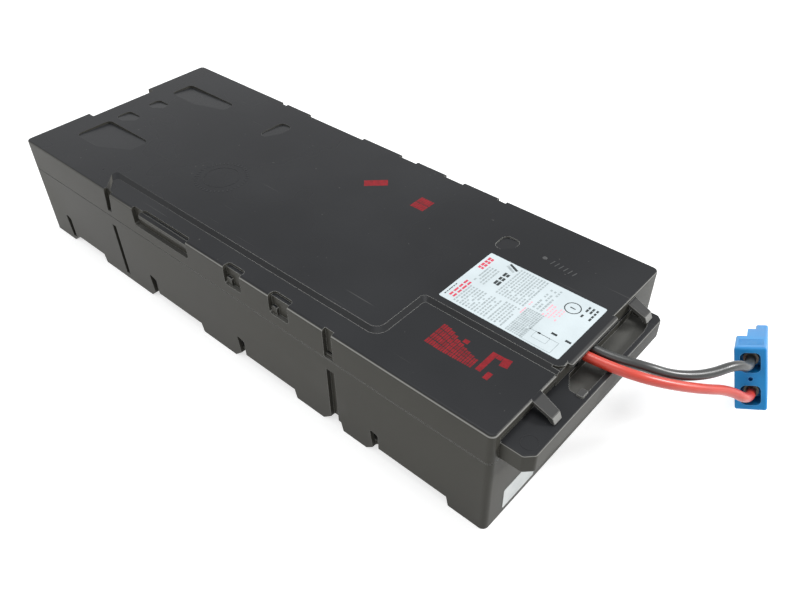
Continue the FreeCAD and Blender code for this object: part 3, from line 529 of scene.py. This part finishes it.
# %% Hand the finishes out
FINISH_OF = {
    "lower_tray": case_plastic, "upper_cover": case_plastic, "cable_grommet": grommet_rubber,
    "terminal_boots": boot_plastic, "positive_terminals": terminal_metal,
    "negative_terminals": terminal_metal, "connector_housing": blue_plastic,
    "contact_red": contact_metal_painted_shade, "contact_black": contact_metal_painted_shade,
    "contact_springs": spring_steel, "rating_label": label_film, "front_sticker": sticker_film,
    "inner_red_lead": red_vinyl, "inner_black_lead": black_vinyl, "link_wire_1_2": black_vinyl,
    "link_wire_2_3": black_vinyl, "link_wire_3_4": black_vinyl,
}
for number in range(1, 5):
    FINISH_OF[f"battery_block_{number}"] = block_plastic
    FINISH_OF[f"foam_pad_{number}"] = foam
for name, node in nodes.items():
    if name not in ("red_lead", "black_lead"):
        node.data.materials.clear()
        node.data.materials.append(FINISH_OF[name])
red_cord.data.materials.append(red_vinyl)
black_cord.data.materials.append(black_vinyl)
print("finished nodes", len(FINISH_OF))

# %% [markdown]
# ## Rows of print and rings of ticks
#
# The label and the covers carry rows of small print. None of it is readable here: a row is a
# line of dashes of uneven length, as text looks from across a table. The covers also carry
# rings that the mould leaves. Both repeat a small brick, so Geometry Nodes grow them. One tree
# makes a grid of points, drops some of them and puts a brick on each of the rest. The other
# puts its bricks round a circle. The copies are made real and get their material inside the
# tree. Its inputs are set before it first runs, and the result is kept as a plain mesh.

# %% How each tree begins and ends
def begin_tree(name, inputs):
    """An empty tree, and its named inputs as signals."""
    tree = bpy.data.node_groups.new(name, "GeometryNodeTree")
    for label, kind in inputs.items():
        tree.interface.new_socket(label, in_out="INPUT", socket_type="NodeSocket" + kind)
    tree.interface.new_socket("Shape", in_out="OUTPUT", socket_type="NodeSocketGeometry")
    sheet = Sheet(tree)
    return sheet, {label: sheet.node("NodeGroupInput", result=label) for label in inputs}


def end_tree(sheet, points, turn, size, material):
    """Bricks on the points, made real, in their material, and sent out."""
    brick = sheet.node("GeometryNodeMeshCube", {}, {"Size": (1.0, 1.0, 1.0)}, "Mesh")
    copies = sheet.node("GeometryNodeInstanceOnPoints", {},
                        {"Points": points, "Instance": brick, "Rotation": turn, "Scale": size},
                        "Instances")
    real = sheet.node("GeometryNodeRealizeInstances", {}, {"Geometry": copies}, "Geometry")
    dressed = sheet.node("GeometryNodeSetMaterial", {},
                         {"Geometry": real, "Material": material}, "Geometry")
    way_out = sheet.tree.nodes.new("NodeGroupOutput")
    sheet.feed(way_out.inputs["Shape"], dressed)
    print("tree", sheet.tree.name, "has", len(sheet.tree.nodes), "nodes")
    return sheet.tree


# %% The tree that grows rows of dashes
INK_HEIGHT = 0.00003
INK_SINK = 0.00001


def rows_tree():
    sheet, given = begin_tree("rows_of_dashes", {
        "Depth": "Float", "Width": "Float", "Rows": "Int", "Marks": "Int", "Skip": "Float",
        "Stroke": "Float", "Shortest": "Float", "Longest": "Float", "Seed": "Int",
        "Ink": "Material"})
    points = sheet.node("GeometryNodeMeshGrid", {},
                        {"Size X": given["Depth"], "Size Y": given["Width"],
                         "Vertices X": given["Rows"], "Vertices Y": given["Marks"]}, "Mesh")
    skipped = sheet.node("FunctionNodeRandomValue", {"data_type": "BOOLEAN"},
                         {"Probability": given["Skip"], "Seed": given["Seed"]}, "Value_003")
    left = sheet.node("GeometryNodeDeleteGeometry", {"domain": "POINT"},
                      {"Geometry": points, "Selection": skipped}, "Geometry")
    length = sheet.node("FunctionNodeRandomValue", {"data_type": "FLOAT"},
                        {"Min_001": given["Shortest"], "Max_001": given["Longest"],
                         "Seed": given["Seed"] + 1}, "Value_001")
    size = sheet.node("ShaderNodeCombineXYZ", {},
                      {"X": given["Stroke"], "Y": length, "Z": INK_HEIGHT})
    return end_tree(sheet, left, (0.0, 0.0, 0.0), size, given["Ink"])


rows_of_dashes = rows_tree()


# %% The tree that grows a ring
def ring_tree():
    sheet, given = begin_tree("ring_of_ticks", {
        "Ticks": "Int", "Radius": "Float", "Length": "Float", "Stroke": "Float",
        "Height": "Float", "Plastic": "Material"})
    circle = sheet.node("GeometryNodeMeshCircle", {},
                        {"Vertices": given["Ticks"], "Radius": given["Radius"]}, "Mesh")
    number = sheet.node("GeometryNodeInputIndex")
    turn = sheet.node("ShaderNodeCombineXYZ", {}, {"Z": number * math.tau / given["Ticks"]})
    size = sheet.node("ShaderNodeCombineXYZ", {},
                      {"X": given["Length"], "Y": given["Stroke"], "Z": given["Height"]})
    return end_tree(sheet, circle, turn, size, given["Plastic"])


ring_of_ticks = ring_tree()


# %% Run a tree
def grow(tree, values):
    """The mesh that a Geometry Nodes tree makes from these inputs."""
    seed = bpy.data.objects.new("seed", bpy.data.meshes.new("seed"))
    collection.objects.link(seed)
    modifier = seed.modifiers.new("grow", "NODES")
    modifier.node_group = tree
    for item in tree.interface.items_tree:
        if item.in_out == "INPUT":
            modifier[item.identifier] = values[item.name]
    grown = seed.evaluated_get(bpy.context.evaluated_depsgraph_get())
    mesh = bpy.data.meshes.new_from_object(grown)
    bpy.data.objects.remove(seed)
    return mesh


print("trees", rows_of_dashes.name, ring_of_ticks.name)

# %% [markdown]
# ## Marks by the millimetre
#
# Places on the cartridge are easiest to read as millimetres from its far end and from its
# centre line, so the next functions take those and turn them into metres at the very end. One
# Marks object collects all marks of one ink, or of one plastic, on one surface. It becomes one
# piece, which is easier to handle than hundreds of dashes.

# %% Collect the marks
FAR_END = 0.226
LABEL_TOP = 0.0802
PLATFORM_TOP = 0.08
LEDGE_TOP = 0.0782
PULL_LEDGE_TOP = 0.07
LONGEST_DASH = 0.94
TICK_SHARE = 0.97


class Marks:
    """Marks of one ink or plastic that lie on one level."""

    def __init__(self, name, level, material, height=INK_HEIGHT):
        self.name = name
        self.level = level
        self.material = material
        self.height = height
        self.shape = bmesh.new()

    def centre(self, x, y):
        middle = self.level + self.height / 2 - INK_SINK
        return Matrix.Translation((x / 1000 - FAR_END, y / 1000, middle))

    def take(self, mesh, place):
        mesh.transform(place)
        self.shape.from_mesh(mesh)
        bpy.data.meshes.remove(mesh)

    def rows(self, x0, x1, y0, y1, pitch, marks, seed, stroke=0.5, skip=0.08, shortest=0.55):
        """A block of dashes: stroke is their share of the pitch, shortest of a mark's room."""
        count = max(1, round((x1 - x0) / pitch))
        step = (y1 - y0) / marks / 1000
        mesh = grow(rows_of_dashes, {
            "Depth": (x1 - x0) * (count - 1) / count / 1000, "Width": step * (marks - 1),
            "Rows": count, "Marks": marks, "Skip": skip, "Stroke": pitch * stroke / 1000,
            "Shortest": step * shortest, "Longest": step * LONGEST_DASH, "Seed": seed,
            "Ink": self.material})
        self.take(mesh, self.centre((x0 + x1) / 2, (y0 + y1) / 2))

    def plate(self, x, y, long, wide, turn=0.0):
        """One bar, turned by some degrees."""
        size = Matrix.Diagonal((long / 1000, wide / 1000, self.height, 1.0))
        spin = Matrix.Rotation(math.radians(turn), 4, "Z")
        bmesh.ops.create_cube(self.shape, size=1.0, matrix=self.centre(x, y) @ spin @ size)

    def frame(self, x0, x1, y0, y1, line):
        """An outline of four bars."""
        for x in (x0, x1):
            self.plate(x, (y0 + y1) / 2, line, y1 - y0 + line)
        for y in (y0, y1):
            self.plate((x0 + x1) / 2, y, x1 - x0 - line, line)

    def ring(self, x, y, radius, line, ticks, stroke=None):
        """Ticks round a circle, so wide that they all but touch unless stroke says less."""
        mesh = grow(ring_of_ticks, {
            "Ticks": ticks, "Radius": radius / 1000, "Length": line / 1000,
            "Stroke": (stroke or math.tau * radius / ticks * TICK_SHARE) / 1000,
            "Height": self.height, "Plastic": self.material})
        self.take(mesh, self.centre(x, y))

    def dome(self, x, y, radius, rise):
        """A round pip, of which the upper half shows."""
        flat = Matrix.Diagonal((radius / 1000, radius / 1000, rise / 1000, 1.0))
        ground = Matrix.Translation((x / 1000 - FAR_END, y / 1000, self.level))
        bmesh.ops.create_uvsphere(self.shape, u_segments=20, v_segments=10, radius=1.0,
                                  matrix=ground @ flat)

    def finish(self):
        mesh = bpy.data.meshes.new(self.name)
        bmesh.ops.recalc_face_normals(self.shape, faces=self.shape.faces)
        self.shape.to_mesh(mesh)
        self.shape.free()
        mesh.materials.append(self.material)
        for face in mesh.polygons:
            face.material_index = 0
            face.use_smooth = False
        piece = bpy.data.objects.new(self.name, mesh)
        collection.objects.link(piece)
        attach(piece, "root")
        print(self.name, "faces", len(mesh.polygons))


print("levels in mm", [round(z * 1000, 1) for z in
                       (LABEL_TOP, PLATFORM_TOP, LEDGE_TOP, PULL_LEDGE_TOP)])

# %% [markdown]
# ## Print on the label
#
# The real label is printed in several inks, as rows of small text, fields and outlines. They
# could be mixed into the label's colour by masks, but a mask for every field is hard to read
# and to move. Here each line of code is one mark: a block of dashes, a bar, a frame or a ring,
# in ink so thin that it only shows as colour. A block gives its corners in millimetres, the
# pitch of its rows, the marks in a row and its seed.

# %% Print the grey ink
def ink(name, first, second):
    return plain_finish(name, first, second, 0.45, scale=300.0, grain=1200.0, depth=0.00001,
                        gloss=0.2)


grey_ink = ink("grey_ink", rgb(150, 160, 163), rgb(170, 180, 183))
grey_print = Marks("label_grey_print", LABEL_TOP, grey_ink)
grey_print.rows(357.5, 380.5, -18.5, -1.0, 2.1, 8, 1)
grey_print.rows(355.5, 364.0, 3.5, 20.0, 2.1, 7, 2)
grey_print.rows(372.0, 392.0, 2.5, 29.5, 2.1, 12, 3)
grey_print.rows(381.5, 392.0, -18.5, 0.5, 2.1, 9, 4)
grey_print.rows(395.0, 402.5, 5.5, 28.0, 2.5, 10, 5, skip=0.2)
grey_print.rows(394.0, 405.5, -18.8, 4.0, 1.5, 14, 6, stroke=0.7, skip=0.03)
grey_print.plate(367.0, 25.6, 7.0, 1.6, -24.0)
grey_print.frame(404.0, 423.0, -18.8, -9.5, 0.35)
grey_print.frame(408.5, 417.5, -14.5, -9.5, 0.3)
grey_print.finish()

# %% Print the dark ink
dark_ink = ink("dark_ink", rgb(44, 50, 52), rgb(58, 64, 66))
dark_print = Marks("label_dark_print", LABEL_TOP, dark_ink)
dark_print.rows(350.2, 351.6, -17.0, -5.0, 1.4, 6, 11)
dark_print.rows(366.4, 370.6, 8.0, 21.5, 2.1, 3, 12, stroke=0.8, skip=0.0)
dark_print.plate(367.9, 27.8, 7.5, 1.6, -24.0)
dark_print.ring(413.6, 19.6, 4.6, 0.65, 36)
dark_print.plate(413.6, 19.6, 3.4, 0.8)
dark_print.rows(419.5, 427.0, 16.0, 27.0, 2.6, 4, 13, skip=0.15)
dark_print.plate(417.2, -5.0, 3.6, 1.6)
dark_print.plate(426.1, -5.3, 3.6, 1.6)
dark_print.plate(410.5, -9.5, 1.8, 1.2)
dark_print.finish()

# %% Print the red and the pink ink
red_ink = ink("red_ink", rgb(196, 62, 84), rgb(208, 84, 102))
red_print = Marks("label_red_print", LABEL_TOP, red_ink)
red_print.rows(352.6, 357.6, -16.5, 1.5, 2.5, 4, 21, stroke=0.55, skip=0.0)
red_print.rows(350.6, 354.8, 14.0, 27.0, 2.1, 4, 22, stroke=0.8, skip=0.0)
red_print.finish()

pink_ink = ink("pink_ink", rgb(226, 170, 182), rgb(232, 184, 194))
pink_print = Marks("label_pink_print", LABEL_TOP, pink_ink)
pink_print.rows(402.5, 412.5, 3.5, 15.0, 2.0, 5, 31, skip=0.1)
pink_print.rows(392.3, 394.2, -3.0, 10.0, 1.9, 6, 32)
pink_print.finish()

# %% [markdown]
# ## Red stamps on the covers
#
# A dark red stamp lies on the lower ledge, and two more on the platform. Stamped ink is uneven
# and its outline leans, so the stamp on the ledge is built of narrow bands. Each band is a
# block of short dashes with its own two edges, which was simpler than one slanted outline.

# %% Stamp the ledge
STAMP_EDGES = [
    (-35.0, -53.2), (-35.5, -53.4), (-36.5, -53.5), (-38.0, -53.5), (-40.0, -53.4),
    (-41.0, -53.3), (-42.5, -53.2), (-43.5, -53.1), (-44.5, -53.0), (-45.5, -52.8),
]
STAMP_START = 365.6
BAND_STEP = 3.15
BAND_WIDTH = 3.0

stamp_ink = ink("red_stamp_ink", rgb(112, 14, 24), rgb(136, 22, 32))
ledge_stamp = Marks("ledge_red_stamp", LEDGE_TOP, stamp_ink)
for band, (near, far) in enumerate(STAMP_EDGES):
    start = STAMP_START + band * BAND_STEP
    ledge_stamp.rows(start, start + BAND_WIDTH, far, near, 1.5, 4, 40 + band, stroke=0.8,
                     skip=0.02, shortest=0.82)
ledge_stamp.plate(383.5, -38.6, 3.4, 3.0)
ledge_stamp.plate(400.8, -43.6, 3.4, 16.4)
ledge_stamp.plate(404.4, -36.9, 3.4, 3.2)
ledge_stamp.plate(409.1, -38.2, 5.0, 6.6, 8.0)
ledge_stamp.plate(407.2, -51.6, 3.2, 5.4)
ledge_stamp.finish()

# %% Stamp the platform
cover_stamp = Marks("cover_red_stamp", PLATFORM_TOP, stamp_ink)
cover_stamp.plate(242.2, 43.2, 16.4, 6.9, 42.5)
cover_stamp.rows(277.5, 288.5, 37.5, 50.5, 1.9, 2, 61, stroke=0.86, skip=0.0, shortest=0.9)
cover_stamp.finish()

# %% [markdown]
# ## Marks of the mould
#
# A mould leaves its own small marks: a dial of ticks, a tally of short bars, round pips, and
# the ring of an ejector pin. They stand a tenth of a millimetre proud, and the pips a little
# more. The plastic is the case's own, but the edges of marks this low catch a light that a
# render at this size loses. So the dial and the ring have a slightly paler finish, and the
# tally and the pips a clearer one.

# %% Raise the mould's marks
MOULD_RISE = 0.00012
faint_plastic = plain_finish("faint_mould_mark", rgb(43, 44, 46), rgb(50, 51, 53), 0.34, gloss=0.1)
clear_plastic = plain_finish("clear_mould_mark", rgb(74, 75, 76), rgb(90, 91, 92), 0.3, gloss=0.2)

platform_marks = Marks("platform_mould_marks", PLATFORM_TOP, faint_plastic, MOULD_RISE)
platform_marks.ring(155.0, -21.0, 18.0, 2.4, 40, 0.9)
platform_marks.ring(155.0, -21.0, 12.5, 0.35, 48)
platform_marks.finish()

tally_marks = Marks("tally_mould_marks", PLATFORM_TOP, clear_plastic, MOULD_RISE)
for tick in range(6):
    tally_marks.plate(382.5 + tick * 3.2, 47.2 - tick * 0.3, 0.6, 4.2, -12.0)
tally_marks.dome(376.4, 48.0, 1.5, 0.2)
tally_marks.finish()

ledge_marks = Marks("ledge_mould_marks", LEDGE_TOP, clear_plastic, MOULD_RISE)
ledge_marks.dome(316.6, -66.0, 1.3, 0.4)
ledge_marks.finish()

pull_ledge_marks = Marks("pull_ledge_mould_marks", PULL_LEDGE_TOP, faint_plastic, MOULD_RISE)
pull_ledge_marks.ring(444.8, -67.2, 4.6, 0.4, 40)
pull_ledge_marks.finish()

# %% [markdown]
# ## The floor
#
# The photograph was taken on a white sweep. The floor keeps a soft shadow, so part of its
# brightness is its own colour under the lamps. The rest is added only for the camera and for
# mirror reflections, which is what the Light Path node tells apart. A brighter lamp would
# whiten the floor too, but it would also wash out the case.

# %% Lay the floor
FLOOR_HALF = 8.0
FLOOR_GLOW = 0.62
WHITE = (1.0, 1.0, 1.0, 1.0)


def seen_or_mirrored(sheet):
    """1 for what the camera sees, straight, in a mirror or through glass, and 0 for light."""
    seen, mirrored, through = [sheet.node("ShaderNodeLightPath", result=key) for key in
                               ("Is Camera Ray", "Is Glossy Ray", "Is Transmission Ray")]
    return seen.maths("MAXIMUM", mirrored).maths("MAXIMUM", through)


floor_mesh = bpy.data.meshes.new("studio_floor")
corners = [(x * FLOOR_HALF, y * FLOOR_HALF, 0.0) for x, y in
           ((-1, -1), (1, -1), (1, 1), (-1, 1))]
floor_mesh.from_pydata(corners, [], [(0, 1, 2, 3)])
floor = bpy.data.objects.new("studio_floor", floor_mesh)
collection.objects.link(floor)
paper = Finish("pale_paper", Roughness=0.9)
paper.put("Base Color", rgb(214, 215, 215))
lit = Signal(paper, paper.shader.outputs[0])
glow = paper.node("ShaderNodeEmission", {},
                  {"Color": WHITE, "Strength": seen_or_mirrored(paper) * FLOOR_GLOW})
both = paper.node("ShaderNodeAddShader", {}, {0: lit, 1: glow})
paper_end = next(n for n in paper.tree.nodes if n.type == "OUTPUT_MATERIAL")
paper.feed(paper_end.inputs["Surface"], both)
floor_mesh.materials.append(paper.material)
print("floor is", floor.dimensions.x, "m wide")

# %% [markdown]
# ## The room and the lamps
#
# The room is white to the camera and in reflections, and half as bright as a light. Four round
# softboxes do the rest: a large one overhead, a weak one from the side of the camera, and a
# small one to the left and to the right, which draw the bright lines along the edges. They
# could be suns, but a disk of its own size gives the soft shadow of a studio.

# %% Whiten the room
ROOM_LIGHT = 0.5
world = bpy.data.worlds.new("white_room")
bpy.context.scene.world = world
world.use_nodes = True
room = Sheet(world.node_tree)
sky = next(n for n in world.node_tree.nodes if n.type == "BACKGROUND")
room.feed(sky.inputs["Color"], WHITE)
room.feed(sky.inputs["Strength"], seen_or_mirrored(room) * (1 - ROOM_LIGHT) + ROOM_LIGHT)
print("room lights with", ROOM_LIGHT, "and shows as 1")


# %% Hang the lamps
def lamp(name, place, aim, size, watts):
    data = bpy.data.lights.new(name, "AREA")
    data.shape = "DISK"
    data.size = size
    data.energy = watts
    made = bpy.data.objects.new(name, data)
    made.location = place
    made.rotation_euler = (Vector(aim) - Vector(place)).to_track_quat("-Z", "Y").to_euler()
    collection.objects.link(made)


lamp("overhead_softbox", place=(-0.1, 0.2, 1.6), aim=(0.0, 0.0, 0.0), size=0.9, watts=11.0)
lamp("side_softbox", place=(0.6, -1.5, 0.9), aim=(0.05, 0.0, 0.03), size=0.9, watts=3.0)
lamp("left_edge_softbox", place=(-1.0, -1.32, 1.12), aim=(0.0, 0.0, 0.05), size=0.4, watts=6.0)
lamp("right_edge_softbox", place=(1.32, 1.12, 1.0), aim=(0.0, 0.0, 0.05), size=0.4, watts=25.0)
